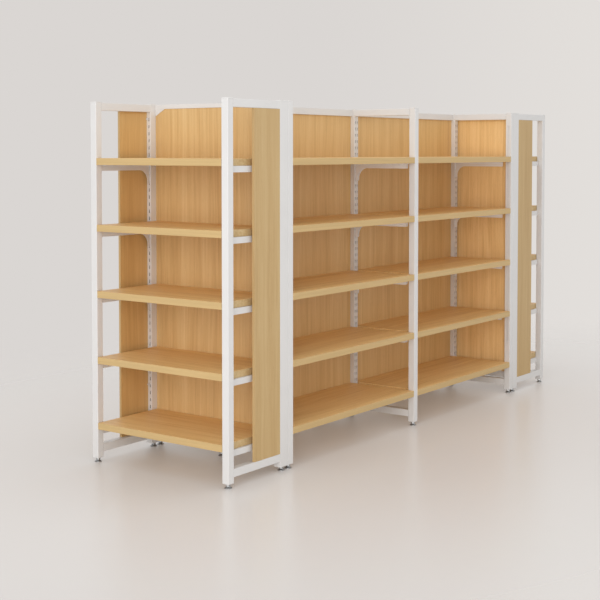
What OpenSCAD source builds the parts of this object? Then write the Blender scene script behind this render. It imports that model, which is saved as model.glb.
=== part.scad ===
// Double-sided gondola shelving run with two bays and an outward-facing end unit at each end.
// Millimetres. X runs along the gondola, -Y is its front side and Z is up.
// The origin is on the floor, under the middle of the unit.

/* [Overall size] */
// Height from the floor to the top of the post caps
unit_h = 1620; // [1600:1:1900]
// Depth of the run, from the front posts' front faces to the back posts' back faces
unit_d = 795; // [700:1:1000]
// Distance between the centre lines of neighbouring run frames
bay_pitch = 1068; // [800:1:1300]
// Depth of an end unit, from its front posts to the back of its rear uprights
end_d = 412; // [380:1:520]

/* [Steel frames] */
// Outside width of the square tube
tube = 35; // [30:1:40]
// Wall of the square tube
tube_wall = 1.5; // [1:0.5:2]
// Radius of the long edges of the tubes and uprights
edge_r = 2.2; // [1:0.1:3]
// Outside depth of the slotted uprights
upright_d = 60; // [50:1:80]
// Wall of the slotted uprights
upright_wall = 2; // [1.5:0.5:2.5]
// Height of the bottom rails above the bottoms of the posts
bottom_rail_lift = 25; // [20:1:60]
// Height of the top rail across the back of an end unit
rear_rail_h = 20; // [20:1:30]
// Length along the rail of the triangular gusset under each of its ends
gusset_w = 60; // [40:1:70]
// Height of the gusset
gusset_h = 34; // [25:1:60]
// Thickness of the gusset plate
gusset_t = 3; // [2:0.5:4]

/* [Slots] */
// Distance from one slot to the next up the upright
slot_pitch = 33; // [33:1:33]
// Height of a slot
slot_h = 16; // [14:1:20]
// Width of a slot
slot_w = 4; // [3.5:0.1:5]
// Distance of each slot column from the middle of the upright's face
slot_offset = 8; // [7:0.5:9]

/* [Shelves] */
// Height of the lowest shelf's underside above the floor
base_shelf_z = 151; // [140:1:160]
// Slots from one tier of shelves to the next
slots_per_tier = 9; // [8:1:9]
// Thickness of a shelf board
shelf_t = 30; // [25:1:36]
// Gap between a shelf board's end and the frame beside it
shelf_gap = 0.8; // [0.5:0.1:2]

/* [Panels] */
// Thickness of the back and side panels
panel_t = 12; // [9:1:18]
// Distance from the back of an end unit to the back of its back panel
panel_inset = 12; // [10:1:24]
// Open gap between an end unit's front post and its side panel
side_gap = 138; // [60:1:200]

/* [Shelf brackets] */
// Thickness of the bracket plate
bracket_t = 3; // [2:0.5:4]
// Height of the bracket's arm
arm_h = 27; // [20:1:35]
// Height of the bracket's root, which hooks into the upright
root_h = 92; // [75:1:100]
// Width of the root below the curve that joins it to the arm
root_w = 12; // [8:1:16]
// Width of the ledge bent from the top of the arm to lie under the shelf
ledge_w = 27; // [24:1:34]

/* [Levelling feet] */
// Height of the posts' bottoms above the floor
foot_h = 20; // [18:1:30]
// Diameter of the foot's pad
foot_d = 32; // [26:1:34]
// Diameter of the foot's threaded stem
stem_d = 10; // [8:1:12]

/* [Hidden] */
post_top = unit_h - 3;
cap_t = unit_h - post_top;
half_d = unit_d / 2;
post_y = half_d - tube;               // inner face of a front or back post
rail_bottom_z = foot_h + bottom_rail_lift;
rail_top_z = post_top - tube;
frame_x = [-bay_pitch, 0, bay_pitch];
join_gap = 1;                         // between an end unit and the run
half_l = bay_pitch + tube / 2 + join_gap + end_d;
weld = 0.1;                           // hairline between pieces that touch
plug_gap = 0.2;                       // between a plug and the tube around it

tiers = 5;
tier_pitch = slots_per_tier * slot_pitch;
function tier_z(tier) = base_shelf_z + (tier - 1) * tier_pitch;

hook_z = [-22, -55];                  // middles of the two slots that a bracket uses, below the shelf
slot_first_z = base_shelf_z + hook_z[1] - slot_pitch;
slot_count = floor((rail_top_z - slot_first_z) / slot_pitch);

upright_x = end_d - upright_d;        // front face of an end unit's upright, behind its front plane
back_panel_x = end_d - panel_inset - panel_t;
bolt_z = [300, post_top - 67];
bolt_r = 3;
bolt_clearance = 0.25;
socket_h = 25;
stem_clearance = 0.08;                // around the foot's stem, in its socket

STEEL = "whitesmoke";
WOOD = "burlywood";
BOARD = "tan";
PLASTIC = "gainsboro";
ZINC = "dimgray";

SIDES = ["left", "right"];
BAYS = ["front_left", "front_right", "back_left", "back_right", "left_end", "right_end"];
FRAME_FEET = ["front", "spine", "back"];
END_FEET = ["front_near", "front_far", "rear_near", "rear_far"];
SHELVES = [for (bay = BAYS, tier = [2:tiers]) [str(bay, "_shelf_", tier), bay, tier]];
RUN_FEET = [for (i = [0:2], place = FRAME_FEET)
    [str(["left", "middle", "right"][i], "_frame_", place, "_foot"), i, place]];
UNIT_FEET = [for (side = SIDES, place = END_FEET) [str(side, "_end_", place, "_foot"), side, place]];

// Shared shapes

module block(low, high) translate(low) cube(high - low);

// A rectangle with rounded corners, from the origin
module rounded(w, h) {
    centres = [[w - edge_r, h - edge_r], [edge_r, h - edge_r], [edge_r, edge_r], [w - edge_r, edge_r]];
    polygon([for (i = [0:3], a = [90 * i:30:90 * i + 90]) centres[i] + edge_r * [cos(a), sin(a)]]);
}

// A bar between two corners, with its edges along one axis rounded
module bar(low, high, axis) {
    size = high - low;
    translate(low) {
        if (axis == 0) rotate([90, 0, 90]) linear_extrude(size[0]) rounded(size[1], size[2]);
        if (axis == 1) translate([0, size[1], 0]) rotate([90, 0, 0])
            linear_extrude(size[1]) rounded(size[0], size[2]);
        if (axis == 2) linear_extrude(size[2]) rounded(size[0], size[1]);
    }
}

// A square tube between two corners, open at both ends along one axis
module hollow(low, high, axis, wall) {
    inset = [for (i = [0:2]) i == axis ? -1 : wall];
    difference() {
        bar(low, high, axis);
        block(low + inset, high - inset);
    }
}

module both_sides() {
    children();
    mirror([0, 1, 0]) children();
}

// Puts a left-hand end unit, whose front plane is at x = 0, at the named end
module at_end(side) {
    if (side == "left") translate([-half_l, 0, 0]) children();
    else mirror([1, 0, 0]) translate([-half_l, 0, 0]) children();
}

// Cutters for the two slot columns, one either side of y = 0, through everything from x = 0 to reach
module slot_columns(reach) {
    for (column = [-slot_offset, slot_offset], n = [0:slot_count - 1])
        translate([0, column - slot_w / 2, slot_first_z + n * slot_pitch - slot_h / 2])
            cube([reach, slot_w, slot_h]);
}

// Run frames

module spine_upright() {
    difference() {
        hollow([-tube / 2, -upright_d / 2, foot_h], [tube / 2, upright_d / 2, post_top], 2, upright_wall);
        rotate(90) translate([-upright_d / 2 - 1, 0, 0]) slot_columns(upright_d + 2);
    }
}

module run_frame_rail(z) {
    hollow([-tube / 2, -post_y + weld, z], [tube / 2, -upright_d / 2 - weld, z + tube], 1, tube_wall);
}

module run_post(i) {
    difference() {
        hollow([-tube / 2, -half_d, foot_h], [tube / 2, -post_y, post_top], 2, tube_wall);
        if (i != 1) for (z = bolt_z) bolt_hole(z);
    }
}

// Hole along X through a tube in the front row of posts
module bolt_hole(z) {
    translate([-half_l, -half_d + tube / 2, z])
        rotate([0, 90, 0]) cylinder(r = bolt_r + bolt_clearance, h = 2 * half_l, $fn = 32);
}

module run_frame(i) {
    color(STEEL) translate([frame_x[i], 0, 0]) {
        spine_upright();
        both_sides() {
            run_post(i);
            run_frame_rail(rail_bottom_z);
            run_frame_rail(rail_top_z);
        }
    }
}

// End units, drawn with the front plane at x = 0

module end_upright() {
    difference() {
        hollow([upright_x, -half_d, foot_h], [end_d, -post_y, post_top], 2, upright_wall);
        translate([upright_x - 1, -half_d + tube / 2, 0]) slot_columns(upright_wall + 2);
        for (z = bolt_z) bolt_hole(z);
    }
}

module end_frame_rail(z) {
    hollow([tube + weld, -half_d, z], [upright_x - weld, -post_y, z + tube], 0, tube_wall);
}

module end_frames(side) {
    color(STEEL) at_end(side) both_sides() {
        hollow([0, -half_d, foot_h], [tube, -post_y, post_top], 2, tube_wall);
        end_upright();
        end_frame_rail(rail_bottom_z);
        end_frame_rail(rail_top_z);
    }
}

module end_side_panels() {
    color(WOOD) for (side = SIDES) at_end(side) both_sides()
        block([tube + side_gap, -half_d, rail_bottom_z + tube + weld],
              [upright_x - weld, -half_d + panel_t, rail_top_z - weld]);
}

module end_back_panel(side) {
    color(WOOD) at_end(side)
        block([back_panel_x, -post_y + weld, rail_bottom_z + 2 * tube + weld],
              [back_panel_x + panel_t, post_y - weld, post_top - rear_rail_h - weld]);
}

module gusset() {
    translate([back_panel_x - weld, -post_y + weld, post_top - rear_rail_h - weld])
        rotate([0, -90, 0])
            linear_extrude(gusset_t) polygon([[0, 0], [-gusset_h, 0], [0, gusset_w]]);
}

module end_rear_rails() {
    rail_front_x = back_panel_x - gusset_t - weld;
    rail_back_x = end_d - 10;
    color(STEEL) for (side = SIDES) at_end(side) {
        block([rail_front_x, -post_y + weld, post_top - rear_rail_h],
              [rail_back_x, post_y - weld, post_top]);
        both_sides() gusset();
        hollow([upright_x + tube / 2, -post_y + weld, rail_bottom_z + tube],
               [upright_x + tube * 1.5, post_y - weld, rail_bottom_z + 2 * tube], 1, tube_wall);
    }
}

// The spine of the run

module run_back_panels() {
    color(WOOD) for (i = [0, 1])
        block([frame_x[i] + tube / 2 + weld, -panel_t / 2, rail_bottom_z + 2 * tube + weld],
              [frame_x[i + 1] - tube / 2 - weld, panel_t / 2, rail_top_z - weld]);
}

module spine_rails() {
    color(STEEL) for (i = [0, 1], z = [rail_bottom_z + tube, rail_top_z])
        hollow([frame_x[i] + tube / 2 + weld, -tube / 2, z],
               [frame_x[i + 1] - tube / 2 - weld, tube / 2, z + tube], 0, tube_wall);
}

// Shelf brackets, drawn at the foot of the shelf with the upright's face at x = 0, the arm along -x
// and the shelf towards +y. Each is one plate in the plane of a slot column, with a ledge bent from its top

module bracket_outline(reach, drop) {
    foot = 13;
    tip = 4;
    curve = drop - arm_h - foot;
    polygon(concat([[reach, 0], [reach, tip - arm_h], [reach - tip, -arm_h]],
        [for (a = [0:10:90]) [root_w + curve * (1 - sin(a)), curve * (cos(a) - 1) - arm_h]],
        [[root_w, tip - drop], [root_w - tip, -drop], [0, -drop], [0, 0]]));
}

module hook(z) {
    slot_bottom = z - slot_h / 2 + weld;
    block([-1, slot_offset - bracket_t / 2, slot_bottom],
          [upright_wall + 2.5, slot_offset + bracket_t / 2, z + 2]);
    block([upright_wall + 0.5, slot_offset - bracket_t / 2, slot_bottom - 7],
          [upright_wall + 2.5, slot_offset + bracket_t / 2, z + 2]);
}

module bracket(reach, drop) {
    plate_y = slot_offset - bracket_t / 2;
    ledge_t = 2.5;
    translate([-weld, 0, -weld]) {
        translate([0, plate_y + bracket_t, 0]) rotate([90, 0, 0])
            linear_extrude(bracket_t) mirror([1, 0]) bracket_outline(reach, drop);
        block([8 - reach, plate_y, -ledge_t], [-4, plate_y + ledge_w, 0]);
        for (z = hook_z) hook(z);
    }
}

// The roots of the lowest tier's brackets stop above the bottom rail
function bracket_drop(tier) = tier == 1 ? base_shelf_z - rail_bottom_z - tube - 1 : root_h;

// The pair of brackets under one shelf: span is between the middles of its two uprights
module bracket_pair(reach, span, tier) {
    bracket(reach, bracket_drop(tier));
    translate([0, span, 0]) mirror([0, 1, 0]) bracket(reach, bracket_drop(tier));
}

module run_brackets() {
    color(STEEL) for (i = [0, 1], tier = [1:tiers])
        translate([frame_x[i + 1], -upright_d / 2, tier_z(tier)])
            rotate(90) bracket_pair(post_y - upright_d / 2 - 22, bay_pitch, tier);
}

module end_brackets(side) {
    color(STEEL) at_end(side) for (tier = [1:tiers])
        translate([upright_x, -half_d + tube / 2, tier_z(tier)])
            bracket_pair(upright_x - tube - 7, unit_d - tube, tier);
}

// Shelf boards

module run_shelf(i, tier) {
    block([frame_x[i] + tube / 2 + shelf_gap, -half_d, tier_z(tier)],
          [frame_x[i + 1] - tube / 2 - shelf_gap, -panel_t / 2 - shelf_gap, tier_z(tier) + shelf_t]);
}

module end_shelf(tier) {
    block([0, -post_y + shelf_gap, tier_z(tier)],
          [back_panel_x - shelf_gap, post_y - shelf_gap, tier_z(tier) + shelf_t]);
}

module shelf(bay, tier) {
    color(BOARD) {
        if (bay == "front_left") run_shelf(0, tier);
        if (bay == "front_right") run_shelf(1, tier);
        if (bay == "back_left") mirror([0, 1, 0]) run_shelf(0, tier);
        if (bay == "back_right") mirror([0, 1, 0]) run_shelf(1, tier);
        if (bay == "left_end") at_end("left") end_shelf(tier);
        if (bay == "right_end") at_end("right") end_shelf(tier);
    }
}

module base_shelves() {
    for (bay = BAYS) shelf(bay, 1);
}

// Ends of the posts: inner is the size of the hollow, outer the size of the tube

module post_cap(outer, wall) {
    plug = outer - 2 * [wall + plug_gap, wall + plug_gap];
    translate([-outer[0] / 2, -outer[1] / 2, post_top + weld])
        linear_extrude(cap_t - weld) rounded(outer[0], outer[1]);
    translate([-plug[0] / 2, -plug[1] / 2, post_top - 12]) cube([plug[0], plug[1], 13]);
}

module foot_socket(outer, wall) {
    plug = outer - 2 * [wall + plug_gap, wall + plug_gap];
    translate([0, 0, foot_h]) difference() {
        translate([-plug[0] / 2, -plug[1] / 2, 0]) cube([plug[0], plug[1], socket_h]);
        translate([0, 0, -1]) cylinder(d = stem_d + 2 * stem_clearance, h = socket_h + 2, $fn = 48);
    }
}

// Runs through the 17 posts: children(0) is for a square post, children(1) for a slotted upright
// with its depth along X and children(2) for one with its depth along Y
module at_posts() {
    for (x = frame_x) translate([x, 0, 0]) {
        children(2);
        both_sides() translate([0, -half_d + tube / 2, 0]) children(0);
    }
    for (side = SIDES) at_end(side) both_sides() translate([0, -half_d + tube / 2, 0]) {
        translate([tube / 2, 0, 0]) children(0);
        translate([end_d - upright_d / 2, 0, 0]) children(1);
    }
}

module post_caps() {
    color(PLASTIC) at_posts() {
        post_cap([tube, tube], tube_wall);
        post_cap([upright_d, tube], upright_wall);
        post_cap([tube, upright_d], upright_wall);
    }
}

module foot_sockets() {
    color(ZINC) at_posts() {
        foot_socket([tube, tube], tube_wall);
        foot_socket([upright_d, tube], upright_wall);
        foot_socket([tube, upright_d], upright_wall);
    }
}

// Levelling feet

module foot() {
    pad_t = 4;
    cone_top = 11;
    hex_top = foot_h - 1;
    cylinder(d = foot_d, h = pad_t, $fn = 64);
    translate([0, 0, pad_t]) cylinder(d1 = foot_d - 4, d2 = 14, h = cone_top - pad_t, $fn = 64);
    translate([0, 0, cone_top]) cylinder(d = 17, h = hex_top - cone_top, $fn = 6);
    translate([0, 0, hex_top - 1]) cylinder(d = stem_d, h = 51, $fn = 48);
}

module run_foot(i, place) {
    y = place == "front" ? -half_d + tube / 2 : place == "back" ? half_d - tube / 2 : 0;
    color(ZINC) translate([frame_x[i], y, 0]) foot();
}

module end_foot(side, place) {
    x = place == "front_near" || place == "front_far" ? tube / 2 : end_d - upright_d / 2;
    y = half_d - tube / 2;
    color(ZINC) at_end(side)
        translate([x, place == "front_near" || place == "rear_near" ? -y : y, 0]) foot();
}

// Bolts from the run's outer posts into the end units, with the nuts inside the end units

module joining_bolt(z) {
    head_r = 5.25;
    head_h = 3.5;
    socket_r = 2.3;
    nut_r = 5.7;
    nut_h = 5;
    grip = tube + join_gap + upright_d;
    translate([end_d + join_gap + tube + weld, -half_d + tube / 2, z]) rotate([0, -90, 0]) {
        translate([0, 0, -head_h]) difference() {
            cylinder(r = head_r, h = head_h, $fn = 48);
            translate([0, 0, -1]) cylinder(r = socket_r, h = 3, $fn = 6);
        }
        translate([0, 0, -1]) cylinder(r = bolt_r, h = grip + nut_h + 4, $fn = 32);
        translate([0, 0, grip + 2 * weld]) difference() {
            cylinder(r = nut_r, h = nut_h, $fn = 6);
            translate([0, 0, -1]) cylinder(r = bolt_r + weld, h = nut_h + 2, $fn = 32);
        }
    }
}

module joining_bolts() {
    color(STEEL) for (side = SIDES, z = bolt_z) at_end(side) both_sides() joining_bolt(z);
}

run_frame(0);  // run_frame_left
run_frame(1);  // run_frame_middle
run_frame(2);  // run_frame_right
end_frames("left");  // left_end_frames
end_frames("right");  // right_end_frames
end_side_panels();
end_back_panel("left");  // left_end_back_panel
end_back_panel("right");  // right_end_back_panel
run_back_panels();
spine_rails();
end_rear_rails();
run_brackets();  // front_brackets
mirror([0, 1, 0]) run_brackets();  // back_brackets
end_brackets("left");  // left_end_brackets
end_brackets("right");  // right_end_brackets
base_shelves();
post_caps();
foot_sockets();
joining_bolts();
for (item = SHELVES) shelf(item[1], item[2]);
for (item = RUN_FEET) run_foot(item[1], item[2]);
for (item = UNIT_FEET) end_foot(item[1], item[2]);
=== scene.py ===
"""Gondola shelving unit: materials, welds, turned feet, stage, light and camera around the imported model.

Metres. X runs along the unit, -Y is its front side and Z is up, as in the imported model.
"""

import math

import bmesh
import bpy
from mathutils import Euler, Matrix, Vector


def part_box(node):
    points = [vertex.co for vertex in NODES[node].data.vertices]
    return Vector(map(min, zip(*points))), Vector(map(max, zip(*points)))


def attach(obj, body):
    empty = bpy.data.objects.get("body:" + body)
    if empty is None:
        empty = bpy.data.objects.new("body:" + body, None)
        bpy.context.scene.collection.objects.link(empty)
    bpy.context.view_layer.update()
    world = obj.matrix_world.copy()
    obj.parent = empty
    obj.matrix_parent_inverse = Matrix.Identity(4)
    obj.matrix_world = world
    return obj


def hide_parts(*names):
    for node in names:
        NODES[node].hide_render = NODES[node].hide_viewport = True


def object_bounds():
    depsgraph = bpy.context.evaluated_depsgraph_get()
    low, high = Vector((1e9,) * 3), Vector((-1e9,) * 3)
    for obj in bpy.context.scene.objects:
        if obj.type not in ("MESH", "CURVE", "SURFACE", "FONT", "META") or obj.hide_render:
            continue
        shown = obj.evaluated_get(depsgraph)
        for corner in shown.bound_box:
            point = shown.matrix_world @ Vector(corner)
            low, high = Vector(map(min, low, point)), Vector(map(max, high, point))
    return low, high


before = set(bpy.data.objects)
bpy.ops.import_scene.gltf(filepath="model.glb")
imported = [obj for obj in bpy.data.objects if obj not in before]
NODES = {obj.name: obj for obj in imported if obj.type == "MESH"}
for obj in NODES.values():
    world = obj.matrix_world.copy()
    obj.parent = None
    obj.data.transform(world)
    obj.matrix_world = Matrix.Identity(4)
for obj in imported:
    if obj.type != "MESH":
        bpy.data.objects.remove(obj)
cad_low, cad_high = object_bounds()

MM = 0.001

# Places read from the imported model

half_l = cad_high.x
half_d = cad_high.y
end_frame_low, end_frame_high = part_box("left_end_frames")
post_top = end_frame_high.z
end_depth = end_frame_high.x - end_frame_low.x
run_frame_low, run_frame_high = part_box("run_frame_middle")
tube = run_frame_high.x - run_frame_low.x
bottom_rail_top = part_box("end_side_panels")[0].z
bottom_rail_low = bottom_rail_top - tube
top_rail_low = post_top - tube
RUN_FRAMES = ("run_frame_left", "run_frame_middle", "run_frame_right")
END_FRAMES = ("left_end_frames", "right_end_frames")
FRAME_X = [sum(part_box(name)[k].x for k in (0, 1)) / 2 for name in RUN_FRAMES]
UPRIGHT_DEPTH = 60 * MM
FEET = [name for name in NODES if name.endswith("_foot")]
SHELVES = [name for name in NODES if "_shelf_" in name]

# Node-building helpers


def new_tree(name):
    """A new material, with its node tree and its Principled shader."""
    material = bpy.data.materials.new(name)
    material.use_nodes = True
    tree = material.node_tree
    return material, tree, tree.nodes["Principled BSDF"]


def add(tree, kind, inputs=None, **settings):
    """A shader node with its settings made and its inputs set or linked."""
    made = tree.nodes.new(kind)
    for key, value in settings.items():
        setattr(made, key, value)
    for key, value in (inputs or {}).items():
        if isinstance(value, bpy.types.NodeSocket):
            tree.links.new(value, made.inputs[key])
        else:
            made.inputs[key].default_value = value
    return made


def math_node(tree, operation, a, b=0.0):
    return add(tree, "ShaderNodeMath", {0: a, 1: b}, operation=operation).outputs[0]


def noise(tree, vector, scale, detail=2.0, roughness=0.5):
    return add(tree, "ShaderNodeTexNoise",
               {"Vector": vector, "Scale": scale, "Detail": detail, "Roughness": roughness}).outputs["Fac"]


def stretched(tree, vector, scale):
    return add(tree, "ShaderNodeMapping", {"Vector": vector, "Scale": scale}).outputs[0]


def ramp(tree, value, stops):
    """A colour ramp through (place, (r, g, b)) stops."""
    made = add(tree, "ShaderNodeValToRGB", {"Fac": value})
    elements = made.color_ramp.elements
    while len(elements) < len(stops):
        elements.new(0.5)
    for element, (place, colour) in zip(elements, stops):
        element.position = place
        element.color = (*colour, 1.0)
    return made.outputs["Color"]


def mix_colour(tree, factor, a, b):
    """The colour that a factor of 0 to 1 takes from a to b."""
    made = add(tree, "ShaderNodeMix", data_type="RGBA")
    for socket, value in ((made.inputs[0], factor), (made.inputs[6], a), (made.inputs[7], b)):
        if isinstance(value, bpy.types.NodeSocket):
            tree.links.new(value, socket)
        else:
            socket.default_value = (*value, 1.0) if isinstance(value, tuple) else value
    return made.outputs[2]


def bump(tree, height, strength, distance):
    return add(tree, "ShaderNodeBump",
               {"Height": height, "Strength": strength, "Distance": distance}).outputs["Normal"]


def finish_shader(tree, shader, colour, roughness, normal):
    tree.links.new(colour, shader.inputs["Base Color"])
    tree.links.new(roughness, shader.inputs["Roughness"])
    tree.links.new(normal, shader.inputs["Normal"])


def scaled(tree, value, low, high, from_low=0.0, from_high=1.0):
    """A value between from_low and from_high carried to between low and high."""
    return add(tree, "ShaderNodeMapRange", {"Value": value, "From Min": from_low, "From Max": from_high,
                                            "To Min": low, "To Max": high}).outputs["Result"]


# Materials

# The layers of the grain: how far each is drawn out along it, and its noise's scale, detail and roughness
BANDS = (0.035, 19.0, 2.0, 0.5)
STREAKS = (0.020, 95.0, 4.0, 0.66)
FIBRES = (0.012, 430.0, 2.0, 0.6)
PORES = (0.030, 900.0, 1.0, 0.4)
FIGURE_SHARES = (0.34, 0.50, 0.16)    # of the bands, the streaks and the fibres
FIGURE_MIDDLE = 0.48                  # where the figure has its middle tone
DARK_REACH, LIGHT_REACH = 0.12, 0.14  # from there to its darkest and its lightest, at a contrast of 1
GRAIN_WANDER = 0.030

WOOD_LIGHT = (0.740, 0.545, 0.300)
WOOD_MID = (0.660, 0.452, 0.222)
WOOD_DARK = (0.545, 0.345, 0.150)
WOOD_PORE = (0.400, 0.235, 0.095)
EDGE_BAND = (0.600, 0.415, 0.185)
EDGE_SEAM = (0.330, 0.200, 0.090)
SHELF_TINT = (1.20, 1.13, 0.95)
END_BACK_TINT = (0.96, 0.91, 0.80)
RUN_BACK_TINT = (0.99, 0.92, 0.77)
# The right end unit's back panel takes a much brighter copy of the same laminate: painted light, where the
# lamps reach it less.
FAR_BACK_PAINTED_LIGHT_TINT = (1.24, 1.18, 1.06)
# The side panels take one tone on their inward faces and another on their outward faces: painted light and
# shade, for how each side of a panel is lit.
SIDE_TINT = (0.90, 0.82, 0.66)
SIDE_OUTSIDE_TINT = (0.785, 0.770, 0.700)
BOARD_END_TINT = (0.86, 0.88, 0.86)
EDGE_BAND_THICKNESS = 1.6 * MM
EDGE_SEAM_WIDTH = 0.5 * MM


def tinted(colour, tint):
    return tuple(min(1.0, a * b) for a, b in zip(colour, tint))


def wood(name, grain, tint, contrast, banded=None, outside=None):
    """Oak-patterned laminate with its grain along one axis.

    banded is the axis that a shelf's front edge faces. outside is the tint of the faces that look outwards
    along Y, with the least product of their normal's Y and their own Y that counts.
    """
    material, tree, shader = new_tree(name)
    place = add(tree, "ShaderNodeTexCoord").outputs["Object"]
    along = "XYZ".index(grain)

    def grain_layer(stretch, scale, detail, roughness):
        drawn_out = stretched(tree, drift, tuple(stretch if i == along else 1.0 for i in range(3)))
        return noise(tree, drawn_out, scale, detail, roughness)

    wander = add(tree, "ShaderNodeTexNoise", {"Vector": place, "Scale": 1.7, "Detail": 1.0}).outputs["Color"]
    wander = add(tree, "ShaderNodeVectorMath", {0: wander, 1: (0.5,) * 3}, operation="SUBTRACT").outputs[0]
    wander = add(tree, "ShaderNodeVectorMath", {0: wander, "Scale": GRAIN_WANDER}, operation="SCALE").outputs[0]
    drift = add(tree, "ShaderNodeVectorMath", {0: place, 1: wander}, operation="ADD").outputs[0]

    bands, streaks, fibres = (grain_layer(*layer) for layer in (BANDS, STREAKS, FIBRES))
    parts = [math_node(tree, "MULTIPLY", layer, share)
             for layer, share in zip((bands, streaks, fibres), FIGURE_SHARES)]
    figure = math_node(tree, "ADD", math_node(tree, "ADD", parts[0], parts[1]), parts[2])
    stops = ((FIGURE_MIDDLE - DARK_REACH / contrast, WOOD_DARK), (FIGURE_MIDDLE, WOOD_MID),
             (FIGURE_MIDDLE + LIGHT_REACH / contrast, WOOD_LIGHT))
    colour = ramp(tree, figure, [(at, tinted(tone, tint)) for at, tone in stops])
    if outside:
        outer_tint, squareness = outside
        paler = ramp(tree, figure, [(at, tinted(tone, outer_tint)) for at, tone in stops])
        facing = add(tree, "ShaderNodeSeparateXYZ",
                     {0: add(tree, "ShaderNodeTexCoord").outputs["Normal"]}).outputs["Y"]
        side = add(tree, "ShaderNodeSeparateXYZ", {0: place}).outputs["Y"]
        away = math_node(tree, "GREATER_THAN", math_node(tree, "MULTIPLY", facing, side), squareness)
        colour = mix_colour(tree, away, colour, paler)

    pores = math_node(tree, "GREATER_THAN", grain_layer(*PORES), 0.68)
    pores = math_node(tree, "MULTIPLY", pores, 0.30)
    colour = mix_colour(tree, pores, colour, WOOD_PORE)

    if banded:
        facing = add(tree, "ShaderNodeSeparateXYZ",
                     {0: add(tree, "ShaderNodeTexCoord").outputs["Normal"]}).outputs[banded]
        facing = math_node(tree, "GREATER_THAN", math_node(tree, "ABSOLUTE", facing), 0.8)
        edge_grain = ramp(tree, streaks, [(0.35, tuple(0.90 * c for c in EDGE_BAND)), (0.65, EDGE_BAND)])
        colour = mix_colour(tree, facing, colour, edge_grain)
        where = add(tree, "ShaderNodeSeparateXYZ", {0: place}).outputs[banded]
        front = half_d if banded == "Y" else half_l
        depth = math_node(tree, "SUBTRACT", front - EDGE_BAND_THICKNESS, math_node(tree, "ABSOLUTE", where))
        seam = math_node(tree, "LESS_THAN", math_node(tree, "ABSOLUTE", depth), EDGE_SEAM_WIDTH / 2)
        colour = mix_colour(tree, math_node(tree, "MULTIPLY", seam, 0.7), colour, EDGE_SEAM)

    cloud = noise(tree, place, 5.0, 2.0)
    dullness = math_node(tree, "MULTIPLY", math_node(tree, "ADD", cloud, fibres), 0.5)
    roughness = scaled(tree, dullness, 0.40, 0.56)
    relief = math_node(tree, "SUBTRACT", fibres, math_node(tree, "MULTIPLY", pores, 1.5))
    finish_shader(tree, shader, colour, roughness, bump(tree, relief, 0.35, 0.15 * MM))
    shader.inputs["Specular IOR Level"].default_value = 0.42
    return material


SCUFF_COLOUR = (0.30, 0.27, 0.24)
SCUFF_LOW, SCUFF_HIGH = 20 * MM, 160 * MM


def powder_coat(name, colour, peel=1.0):
    """Painted steel: a faint orange peel, a little mottling, and scuffs where feet and trolleys reach."""
    material, tree, shader = new_tree(name)
    place = add(tree, "ShaderNodeTexCoord").outputs["Object"]
    mottle = noise(tree, place, 9.0, 3.0)
    tone = ramp(tree, mottle, [(0.35, tuple(0.975 * c for c in colour)), (0.65, colour)])
    height = add(tree, "ShaderNodeSeparateXYZ", {0: place}).outputs["Z"]
    low = scaled(tree, height, 1.0, 0.0, SCUFF_LOW, SCUFF_HIGH)
    scuffs = noise(tree, stretched(tree, place, (1.0, 1.0, 3.5)), 38.0, 5.0, 0.7)
    dirt = math_node(tree, "MULTIPLY", scaled(tree, scuffs, 0.0, 0.22, 0.60, 0.72), low)
    tone = mix_colour(tree, dirt, tone, SCUFF_COLOUR)
    fine = noise(tree, place, 900.0, 2.0)
    roughness = scaled(tree, mottle, 0.34, 0.46)
    finish_shader(tree, shader, tone, roughness, bump(tree, fine, 0.12 * peel, 0.12 * MM))
    shader.inputs["Specular IOR Level"].default_value = 0.5
    shader.inputs["Coat Weight"].default_value = 0.15
    shader.inputs["Coat Roughness"].default_value = 0.25
    return material


def moulded_plastic(name, colour):
    material, tree, shader = new_tree(name)
    place = add(tree, "ShaderNodeTexCoord").outputs["Object"]
    mottle = noise(tree, place, 60.0, 3.0)
    tone = ramp(tree, mottle, [(0.3, tuple(0.95 * c for c in colour)), (0.7, colour)])
    grain = noise(tree, place, 1600.0, 2.0)
    finish_shader(tree, shader, tone, scaled(tree, grain, 0.42, 0.58), bump(tree, grain, 0.2, 0.08 * MM))
    return material


def zinc(name, colour):
    """Zinc plate: spangled grey with fine turning marks round the vertical axis and duller patches."""
    material, tree, shader = new_tree(name)
    place = add(tree, "ShaderNodeTexCoord").outputs["Object"]
    patches = noise(tree, place, 160.0, 4.0, 0.65)
    tone = ramp(tree, patches, [(0.3, tuple(0.62 * c for c in colour)), (0.5, colour),
                                (0.72, tuple(min(1.0, 1.25 * c) for c in colour))])
    turning = noise(tree, stretched(tree, place, (0.05, 0.05, 1.0)), 2600.0, 2.0)
    finish_shader(tree, shader, tone, scaled(tree, patches, 0.22, 0.44), bump(tree, turning, 0.25, 0.05 * MM))
    shader.inputs["Metallic"].default_value = 1.0
    return material


WHITE = (0.700, 0.685, 0.671)
# The run's brackets wear a lighter copy of the same white paint: painted light, for brackets that stand in the
# shade under the shelves.
BRACKET_PAINTED_LIGHT_WHITE = (0.850, 0.825, 0.800)
steel_paint = powder_coat("white_powder_coat", WHITE)
painted_light_bracket_paint = powder_coat("bracket_powder_coat_painted_light", BRACKET_PAINTED_LIGHT_WHITE)
bead_paint = powder_coat("white_weld_bead", tuple(0.97 * c for c in WHITE), 3.0)
run_back_wood = wood("run_back_laminate", "Z", RUN_BACK_TINT, 0.75)
end_back_wood = wood("end_back_laminate", "Z", END_BACK_TINT, 0.85)
far_back_painted_light_wood = wood("far_back_laminate_painted_light", "Z", FAR_BACK_PAINTED_LIGHT_TINT, 0.85)
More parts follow.
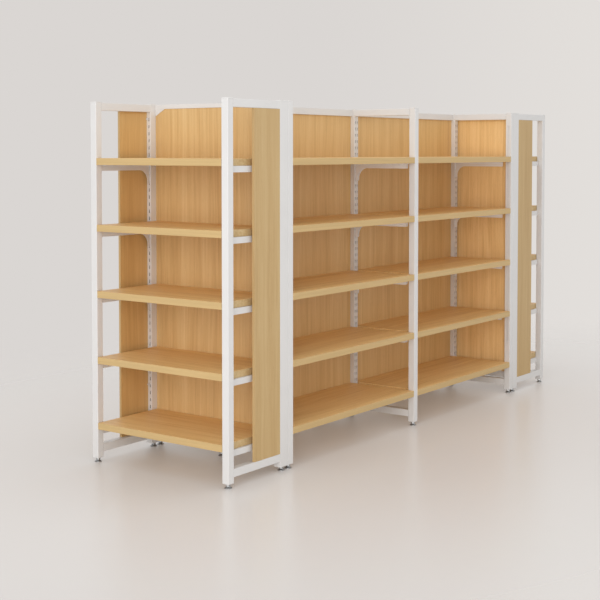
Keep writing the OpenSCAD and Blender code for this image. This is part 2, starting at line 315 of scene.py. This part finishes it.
# The side panels' outward faces take a tone of their own: painted light and shade.
side_wood = wood("side_laminate", "Z", SIDE_TINT, 0.62, outside=(SIDE_OUTSIDE_TINT, -0.1))
run_board_wood = wood("run_shelf_laminate", "X", SHELF_TINT, 0.9, banded="Y")
end_board_wood = wood("end_shelf_laminate", "Y", SHELF_TINT, 0.9, banded="X", outside=(BOARD_END_TINT, 0.2))
cap_plastic = moulded_plastic("cap_plastic", (0.760, 0.745, 0.725))
foot_zinc = zinc("zinc_plate", (0.42, 0.42, 0.42))
# Bare steel for the tubes' insides, dark enough to be painted shade in their slots as well.
bare_steel_painted_shade = zinc("bare_steel_painted_shade", (0.20, 0.18, 0.17))

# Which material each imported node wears, and how far its edges are eased

PAINTED = (*RUN_FRAMES, *END_FRAMES, "spine_rails", "end_rear_rails", "left_end_brackets",
           "right_end_brackets", "joining_bolts")
RUN_BRACKETS = ("front_brackets", "back_brackets")
# The right end unit's back panel wears the brighter copy of the laminate, as painted light.
PANELS = {"end_side_panels": side_wood, "left_end_back_panel": end_back_wood,
          "right_end_back_panel": far_back_painted_light_wood, "run_back_panels": run_back_wood}


def wear(node_name, material):
    data = NODES[node_name].data
    data.materials.clear()
    data.materials.append(material)


STEEL_EASE, PANEL_EASE, BOARD_EASE, CAP_EASE, SOCKET_EASE = 0.5 * MM, 0.8 * MM, 0.9 * MM, 0.9 * MM, 0.3 * MM
SAME_PLACE = 0.01 * MM
WALL_DEPTH = 1.2 * MM    # deeper than the rounding of a tube's edges, less deep than its inside


def ease_edges(node_name, width, segments):
    """Welds the imported corners together, then rounds the sharp edges."""
    piece = NODES[node_name]
    join = piece.modifiers.new("join", "WELD")
    join.merge_threshold = SAME_PLACE
    ease = piece.modifiers.new("ease", "BEVEL")
    ease.width = width
    ease.segments = segments
    ease.limit_method = "ANGLE"
    ease.angle_limit = math.radians(40)
    ease.harden_normals = False


# The run's brackets get the lighter copy of the paint, as painted light.
for name in PAINTED + RUN_BRACKETS:
    wear(name, painted_light_bracket_paint if name in RUN_BRACKETS else steel_paint)
    ease_edges(name, STEEL_EASE, 1)


def bare_insides_painted_shade(node_name):
    """The paint doesn't reach inside the tubes: faces deep within their own tube get bare steel, made dark
    enough to be painted shade in the slots as well.
    """
    data = NODES[node_name].data
    corner = {}
    parent = []

    def top(i):
        while parent[i] != i:
            parent[i] = parent[parent[i]]
            i = parent[i]
        return i

    def vertex_group(index):
        key = tuple(round(c / SAME_PLACE) for c in data.vertices[index].co)
        if key not in corner:
            corner[key] = len(parent)
            parent.append(len(parent))
        return corner[key]

    first_groups = []
    for face in data.polygons:
        groups = [vertex_group(i) for i in face.vertices]
        for other in groups[1:]:
            parent[top(other)] = top(groups[0])
        first_groups.append(groups[0])
    boxes = {}
    for face, group in zip(data.polygons, first_groups):
        low, high = boxes.setdefault(top(group), ([math.inf] * 3, [-math.inf] * 3))
        for i in face.vertices:
            for axis, c in enumerate(data.vertices[i].co):
                low[axis] = min(low[axis], c)
                high[axis] = max(high[axis], c)
    data.materials.append(bare_steel_painted_shade)
    for face, group in zip(data.polygons, first_groups):
        low, high = boxes[top(group)]
        if min(min(face.center[a] - low[a], high[a] - face.center[a]) for a in range(3)) > WALL_DEPTH:
            face.material_index = 1


for name in RUN_FRAMES + END_FRAMES:
    bare_insides_painted_shade(name)
for name, laminate in PANELS.items():
    wear(name, laminate)
    ease_edges(name, PANEL_EASE, 2)
for name in SHELVES:
    wear(name, end_board_wood if "_end_" in name else run_board_wood)
    ease_edges(name, BOARD_EASE, 2)
wear("post_caps", cap_plastic)
ease_edges("post_caps", CAP_EASE, 2)
wear("foot_sockets", foot_zinc)
ease_edges("foot_sockets", SOCKET_EASE, 1)


def split_base_shelves():
    """The base shelves are one node with two grain directions, so each face takes the board it belongs to."""
    data = NODES["base_shelves"].data
    data.materials.clear()
    data.materials.append(run_board_wood)
    data.materials.append(end_board_wood)
    inner_end = FRAME_X[2] + tube / 2
    for face in data.polygons:
        face.material_index = 1 if abs(face.center.x) > inner_end else 0


split_base_shelves()
ease_edges("base_shelves", BOARD_EASE, 2)


# New pieces


def link_mesh(name, bm, material, smooth=True):
    """A new object from a bmesh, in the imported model's frame."""
    data = bpy.data.meshes.new(name)
    bm.normal_update()
    bm.to_mesh(data)
    bm.free()
    data.materials.append(material)
    for face in data.polygons:
        face.use_smooth = smooth
    piece = bpy.data.objects.new(name, data)
    bpy.context.scene.collection.objects.link(piece)
    return piece


def ring_skin(bm, rings):
    """Joins rings of vertices of equal length, one after the other."""
    for low, high in zip(rings, rings[1:]):
        n = len(low)
        for i in range(n):
            bm.faces.new((low[i], low[(i + 1) % n], high[(i + 1) % n], high[i]))


BEAD_RADIUS = 2.4 * MM
BEAD_STEP = 1.6 * MM
BEAD_SIDES = 5
BEAD_INSET = 2.4 * MM    # from the tube's rounded edge


def weld_bead(bm, start, end, out_a, out_b, phase):
    """A rippled, closed fillet in the corner between two faces that look along out_a and out_b."""
    run = end - start
    steps = max(6, round(run.length / BEAD_STEP))
    rings = []
    for k in range(steps + 1):
        centre = start + run * (k / steps)
        swell = BEAD_RADIUS * (0.86 + 0.14 * math.sin(2 * math.pi * (k * 0.31 + phase)))
        taper = min(1.0, 0.45 + 0.55 * min(k, steps - k))
        ring = [bm.verts.new(centre)]
        for j in range(BEAD_SIDES + 1):
            angle = math.pi / 2 * j / BEAD_SIDES
            reach = swell * taper * (1.0 - 0.22 * math.sin(2 * angle))
            across = out_a * reach * math.cos(angle) + out_b * reach * math.sin(angle)
            ring.append(bm.verts.new(centre + across))
        rings.append(ring)
    ring_skin(bm, rings)
    bm.faces.new(list(reversed(rings[0])))
    bm.faces.new(rings[-1])


def rail_beads(bm, corner_a, corner_b, into, low, high, phase):
    """Beads under and over a rail's end, from corner to corner. A height of None has no bead."""
    up = Vector((0, 0, 1))
    for z, away in ((low, -up), (high, up)):
        if z is not None:
            weld_bead(bm, Vector((*corner_a, z)), Vector((*corner_b, z)), into, away, phase)


def make_weld_beads():
    """One bead in each open corner where a rail meets a post or upright."""
    bm = bmesh.new()
    levels = ((bottom_rail_low, bottom_rail_top), (top_rail_low, None))
    phase_step = 0.13
    count = 0
    for x in FRAME_X:
        for side in (-1, 1):
            for y, into in ((side * (half_d - tube), -side), (side * UPRIGHT_DEPTH / 2, side)):
                for low, high in levels:
                    rail_beads(bm, (x - tube / 2 + BEAD_INSET, y), (x + tube / 2 - BEAD_INSET, y),
                               Vector((0, into, 0)), low, high, phase_step * count)
                    count += 1
    for end in (-1, 1):
        front_x = half_l - tube
        rear_x = half_l - end_depth + UPRIGHT_DEPTH
        for side in (-1, 1):
            outer = side * (half_d - BEAD_INSET)
            inner = side * (half_d - tube + BEAD_INSET)
            for x, into in ((end * front_x, -end), (end * rear_x, end)):
                for low, high in levels:
                    rail_beads(bm, (x, outer), (x, inner),
                               Vector((into, 0, 0)), low, high, phase_step * count)
                    count += 1
    bmesh.ops.recalc_face_normals(bm, faces=bm.faces)
    piece = link_mesh("weld_beads", bm, bead_paint)
    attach(piece, "root")


make_weld_beads()


def lathe_rings(bm, centre, profile, segments):
    """Rings of vertices round a vertical axis, one for each (radius, height)."""
    rings = []
    for radius, height in profile:
        rings.append([bm.verts.new(centre + Vector((radius * math.cos(a), radius * math.sin(a), height)))
                      for a in (2 * math.pi * i / segments for i in range(segments))])
    return rings


def closed_lathe(bm, centre, profile, segments):
    rings = lathe_rings(bm, centre, profile, segments)
    ring_skin(bm, rings)
    bm.faces.new(list(reversed(rings[0])))
    bm.faces.new(rings[-1])


def hexagon_collar(bm, centre, low, high, corner_radius, chamfer):
    profile = [(corner_radius - chamfer, low), (corner_radius, low + chamfer / 2),
               (corner_radius, high - chamfer / 2), (corner_radius - chamfer, high)]
    closed_lathe(bm, centre, profile, 6)


def threaded_stem(bm, centre, low, high, outer, depth, pitch, segments):
    """A stem with a true helical thread of the given pitch."""
    rows = round((high - low) / (pitch / 4))
    rings = []
    for row in range(rows + 1):
        z = low + (high - low) * row / rows
        ring = []
        for i in range(segments):
            turn = i / segments
            phase = (z / pitch - turn) % 1.0
            lead_in = min(1.0, (high - z) / pitch)
            radius = outer - depth * abs(2 * phase - 1) - depth * (1 - lead_in)
            ring.append(bm.verts.new(centre + Vector((radius * math.cos(2 * math.pi * turn),
                                                      radius * math.sin(2 * math.pi * turn), z))))
        rings.append(ring)
    ring_skin(bm, rings)
    bm.faces.new(list(reversed(rings[0])))
    bm.faces.new(rings[-1])


PAD_LIP = ((1.6 * MM, 0.0), (0.5 * MM, 0.3 * MM), (0.0, 1.2 * MM), (0.0, 2.9 * MM), (0.5 * MM, 3.8 * MM),
           (1.6 * MM, 4.2 * MM))    # how far in from the pad's outside, and at what height
CONE_LOW, CONE_HIGH = 4.4 * MM, 11.3 * MM
CONE_INSET = 2.0 * MM
WAIST_RADIUS = 8.6 * MM
WAIST_CURVE = 1.7
HEXAGON_TOP = 18.7 * MM
HEXAGON_RADIUS = 9.8 * MM
HEXAGON_CHAMFER = 0.8 * MM
STEM_LOW = 18.0 * MM
STEM_RADIUS = 5.0 * MM
THREAD_DEPTH = 0.55 * MM
THREAD_PITCH = 1.5 * MM


def turned_foot(node_name):
    """A levelling foot with a lipped pad, a waisted cone, a chamfered hexagon and a threaded stem."""
    low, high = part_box(node_name)
    centre = Vector(((low.x + high.x) / 2, (low.y + high.y) / 2, low.z))
    pad_r = (high.x - low.x) / 2
    bm = bmesh.new()
    spread = pad_r - CONE_INSET - WAIST_RADIUS
    waist = [(WAIST_RADIUS + spread * (1 - t) ** WAIST_CURVE, CONE_LOW + (CONE_HIGH - CONE_LOW) * t)
             for t in (i / 8 for i in range(9))]
    closed_lathe(bm, centre, [(pad_r - inset, height) for inset, height in PAD_LIP] + waist, 40)
    hexagon_collar(bm, centre, CONE_HIGH, HEXAGON_TOP, HEXAGON_RADIUS, HEXAGON_CHAMFER)
    threaded_stem(bm, centre, STEM_LOW, high.z - low.z, STEM_RADIUS, THREAD_DEPTH, THREAD_PITCH, 20)
    piece = link_mesh(node_name + "_turned", bm, foot_zinc, smooth=False)
    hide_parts(node_name)
    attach(piece, node_name)


for name in FEET:
    turned_foot(name)


# Stage: a pale polished floor that fades into the backdrop's colour away from the unit

BACKDROP = (0.701, 0.672, 0.651)
BACKDROP_RIGHT = (0.768, 0.738, 0.709)
FLOOR = (0.630, 0.605, 0.583)
# The floor glows a little of its own: painted light, which lightens the shadows on it.
FLOOR_GLOW = (0.100, 0.088, 0.079)
FLOOR_REACH = 30.0
FADE_FROM, FADE_TO = 1.15, 3.2       # distances from the middle, with X shortened by FADE_SQUEEZE
FADE_SQUEEZE = (0.7, 1.0, 1.0)


def make_floor():
    bm = bmesh.new()
    bm.faces.new([bm.verts.new((x * FLOOR_REACH, y * FLOOR_REACH, 0.0))
                  for x, y in ((-1, -1), (1, -1), (1, 1), (-1, 1))])
    material, tree, shader = new_tree("pale_floor")
    place = add(tree, "ShaderNodeTexCoord").outputs["Object"]
    shader.inputs["Base Color"].default_value = (*FLOOR, 1.0)
    shader.inputs["Roughness"].default_value = 0.27
    shader.inputs["Specular IOR Level"].default_value = 0.35
    shader.inputs["Emission Color"].default_value = (*FLOOR_GLOW, 1.0)
    shader.inputs["Emission Strength"].default_value = 1.0
    around = stretched(tree, place, FADE_SQUEEZE)
    distance = add(tree, "ShaderNodeVectorMath", {0: around}, operation="LENGTH").outputs["Value"]
    fade = add(tree, "ShaderNodeMapRange",
               {"Value": distance, "From Min": FADE_FROM, "From Max": FADE_TO},
               interpolation_type="SMOOTHSTEP")
    clear = add(tree, "ShaderNodeBsdfTransparent")
    blend = add(tree, "ShaderNodeMixShader",
                {0: fade.outputs["Result"], 1: shader.outputs[0], 2: clear.outputs[0]})
    tree.links.new(blend.outputs[0], tree.nodes["Material Output"].inputs["Surface"])
    floor = link_mesh("floor", bm, material, smooth=False)


make_floor()


def soft_light(name, place, target, size, power):
    data = bpy.data.lights.new(name, "AREA")
    data.shape = "SQUARE"
    data.size = size
    data.energy = power
    lamp = bpy.data.objects.new(name, data)
    lamp.location = place
    lamp.rotation_mode = "QUATERNION"
    lamp.rotation_quaternion = (Vector(target) - Vector(place)).to_track_quat("-Z", "Y")
    bpy.context.scene.collection.objects.link(lamp)


AMBIENT = 0.77
LAMPS = (                            # name, place, target, size, power
    ("key", (-7.0, -4.4, 2.0), (-0.2, 0.0, 0.8), 4.5, 240.0),
    ("side", (-8.5, -0.6, 1.8), (-0.5, 0.0, 0.8), 4.5, 60.0),
    ("overhead", (0.0, -0.6, 6.0), (0.0, -0.1, 0.0), 2.6, 40.0),
)
WALL_FROM, WALL_TO = 0.20, 0.60      # where the backdrop starts and ends its change of tone


def make_light():
    """Soft lamps, and a world that lights evenly and is seen as a backdrop that lightens to one side."""
    world = bpy.data.worlds.new("studio")
    world.use_nodes = True
    tree = world.node_tree
    background = tree.nodes["Background"]
    place = add(tree, "ShaderNodeTexCoord").outputs["Generated"]
    across = add(tree, "ShaderNodeVectorMath", {0: place, 1: (1.0, -1.0, 0.0)}, operation="DOT_PRODUCT")
    across = add(tree, "ShaderNodeMapRange",
                 {"Value": across.outputs["Value"], "From Min": WALL_FROM, "From Max": WALL_TO},
                 interpolation_type="SMOOTHSTEP")
    seen = mix_colour(tree, across.outputs["Result"], BACKDROP, BACKDROP_RIGHT)
    direct = add(tree, "ShaderNodeLightPath").outputs["Is Camera Ray"]
    tree.links.new(mix_colour(tree, direct, (AMBIENT,) * 3, seen), background.inputs["Color"])
    background.inputs["Strength"].default_value = 1.0
    bpy.context.scene.world = world
    for lamp in LAMPS:
        soft_light(*lamp)


make_light()

# Camera

CAMERA_PLACE = (-5.4163, -3.6374, 1.3986)
CAMERA_YAW = math.radians(36.265)    # of the line of sight, from +X towards +Y
CAMERA_PITCH = math.radians(2.423)   # below the horizon
CAMERA_LENS = 74.414
CAMERA_SHIFT = -0.16


def make_camera():
    data = bpy.data.cameras.new("camera")
    data.sensor_width = 36.0
    data.lens = CAMERA_LENS
    data.shift_y = CAMERA_SHIFT
    camera = bpy.data.objects.new("camera", data)
    camera.location = CAMERA_PLACE
    camera.rotation_euler = Euler((math.pi / 2 - CAMERA_PITCH, 0.0, CAMERA_YAW - math.pi / 2))
    bpy.context.scene.collection.objects.link(camera)
    bpy.context.scene.camera = camera
    bpy.context.scene.view_settings.view_transform = "Standard"


make_camera()
